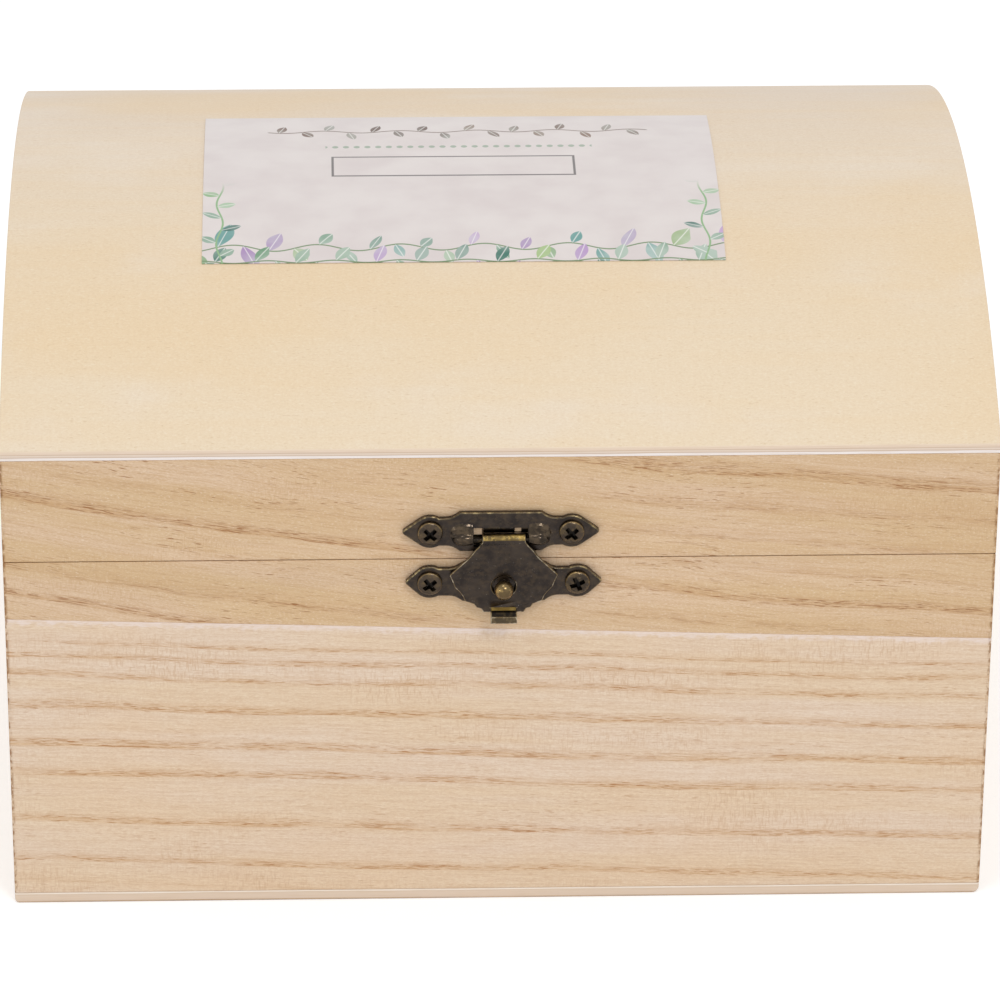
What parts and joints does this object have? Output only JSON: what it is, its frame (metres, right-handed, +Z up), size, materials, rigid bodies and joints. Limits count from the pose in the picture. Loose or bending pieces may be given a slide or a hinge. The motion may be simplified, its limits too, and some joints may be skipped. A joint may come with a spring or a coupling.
{
  "type": "wooden keepsake box",
  "caption": "Rectangular wooden box with a hinged arched plywood lid, back butt hinges and a bronze swing clasp that closes over a ball stud.",
  "frame": {"origin": "centre of the underside of the bottom panel", "axes": "+X along the box's length, -Y towards the clasp at its front, +Z up"},
  "size_m": [0.15, 0.1384, 0.0962],
  "materials": {
    "plywood_panel": "bare plywood, lightly sanded",
    "pale_board": "bare pale board, lightly sanded",
    "tan_board": "bare tan board, lightly sanded",
    "bent_plywood": "bare bent plywood, smooth",
    "label_paper": null,
    "bronze": "antique bronze, worn to yellow metal at the edges"
  },
  "bodies": {
    "base": {"bottom_panel": "plywood_panel", "base_front_lower_board": "pale_board", "base_front_upper_board": "tan_board", "base_back_board": "pale_board", "base_left_end": "pale_board", "base_right_end": "pale_board", "catch_plate": "bronze", "catch_stud": "bronze", "catch_screw_left": "bronze", "catch_screw_right": "bronze", "left_hinge_base_leaf": "bronze", "left_hinge_pin": "bronze", "right_hinge_base_leaf": "bronze", "right_hinge_pin": "bronze", "base_hinge_screw_1": "bronze", "base_hinge_screw_2": "bronze", "base_hinge_screw_3": "bronze", "base_hinge_screw_4": "bronze"},
    "lid": {"lid_top_plywood": "bent_plywood", "lid_front_rail": "tan_board", "lid_back_rail": "pale_board", "lid_left_end": "pale_board", "lid_right_end": "pale_board", "lid_label": "label_paper", "hasp_mount_plate": "bronze", "mount_screw_left": "bronze", "mount_screw_right": "bronze", "left_hinge_lid_leaf": "bronze", "right_hinge_lid_leaf": "bronze", "lid_hinge_screw_1": "bronze", "lid_hinge_screw_2": "bronze", "lid_hinge_screw_3": "bronze", "lid_hinge_screw_4": "bronze"},
    "flap": {"hasp_flap": "bronze", "hasp_pin": "bronze"}
  },
  "joints": [
    {"name": "lid_hinge", "type": "hinge", "parent": "base", "child": "lid", "pos_m": [0, 0.067, 0.06015], "axis": [-1, 0, 0], "range_deg": [0, 180]},
    {"name": "clasp_hinge", "type": "hinge", "parent": "lid", "child": "flap", "pos_m": [0.00045, -0.06635, 0.064], "axis": [-1, 0, 0], "range_deg": [0, 105]}
  ]
}
